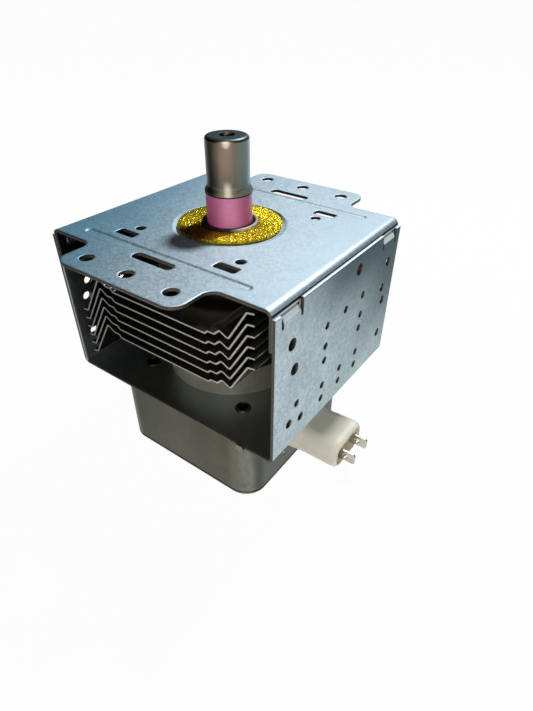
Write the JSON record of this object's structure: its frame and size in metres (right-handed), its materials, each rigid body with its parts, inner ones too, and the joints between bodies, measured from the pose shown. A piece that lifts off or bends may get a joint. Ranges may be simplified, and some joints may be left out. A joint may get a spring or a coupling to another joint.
{
  "type": "magnetron",
  "caption": "Cooking magnetron: a steel yoke with folded cooling fins between ring magnets, a capped ceramic antenna on top, and a filter box with blade terminals below.",
  "frame": {"origin": "the antenna's axis at the upper face of the top plate, which is the mounting face", "axes": "+Z along the antenna, away from the yoke; +X towards the terminals; -Y is an open side"},
  "size_m": [0.1097, 0.1096, 0.1235],
  "materials": {
    "plate_zinc": "zinc-coated sheet, satin, blue-grey",
    "yoke_zinc": "zinc-coated sheet, satin, faint spangle",
    "gasket_brass": "knitted wire mesh, pressed",
    "seal_steel": "plated, bright",
    "pink_alumina": "sintered, satin",
    "cap_steel": "drawn stainless steel",
    "copper": "oxygen-free copper, satin",
    "ferrite": "sintered, matt",
    "fin_aluminium": "rolled sheet, satin",
    "pole_iron": "soft iron, satin",
    "cathode_metal": "refractory metal, satin",
    "white_alumina": "sintered, satin",
    "box_steel": "tinned sheet, satin",
    "cream_plastic": "moulded thermoset, satin",
    "capacitor_steel": "plated sheet, satin",
    "capacitor_ceramic": "potted ceramic, matt",
    "blade_steel": "tinned strip, satin"
  },
  "bodies": {
    "root": {"top_plate": "plate_zinc", "yoke_frame": "yoke_zinc", "rf_gasket": "gasket_brass", "antenna_seal_can": "seal_steel", "antenna_ceramic": "pink_alumina", "antenna_cap": "cap_steel", "exhaust_tube": "copper", "antenna_lead": "copper", "upper_magnet": "ferrite", "lower_magnet": "ferrite", "fin_1": "fin_aluminium", "fin_2": "fin_aluminium", "fin_3": "fin_aluminium", "fin_4": "fin_aluminium", "fin_5": "fin_aluminium", "fin_6": "fin_aluminium", "anode_cylinder": "copper", "anode_vanes": "copper", "strap_rings": "copper", "upper_pole_piece": "pole_iron", "lower_pole_piece": "pole_iron", "filament": "cathode_metal", "upper_end_hat": "cathode_metal", "lower_end_hat": "cathode_metal", "centre_lead": "cathode_metal", "side_lead": "cathode_metal", "cathode_seal_can": "seal_steel", "stem_ceramic": "white_alumina", "stem_terminals": "seal_steel", "choke_coil_front": "copper", "choke_coil_back": "copper", "choke_core_front": "ferrite", "choke_core_back": "ferrite", "filter_box": "box_steel", "filter_box_lid": "box_steel", "terminal_block": "cream_plastic", "capacitor_plate": "capacitor_steel", "capacitor_ceramic": "capacitor_ceramic", "capacitor_case": "cream_plastic", "terminal_blade_front": "blade_steel", "terminal_blade_back": "blade_steel"}
  },
  "joints": []
}
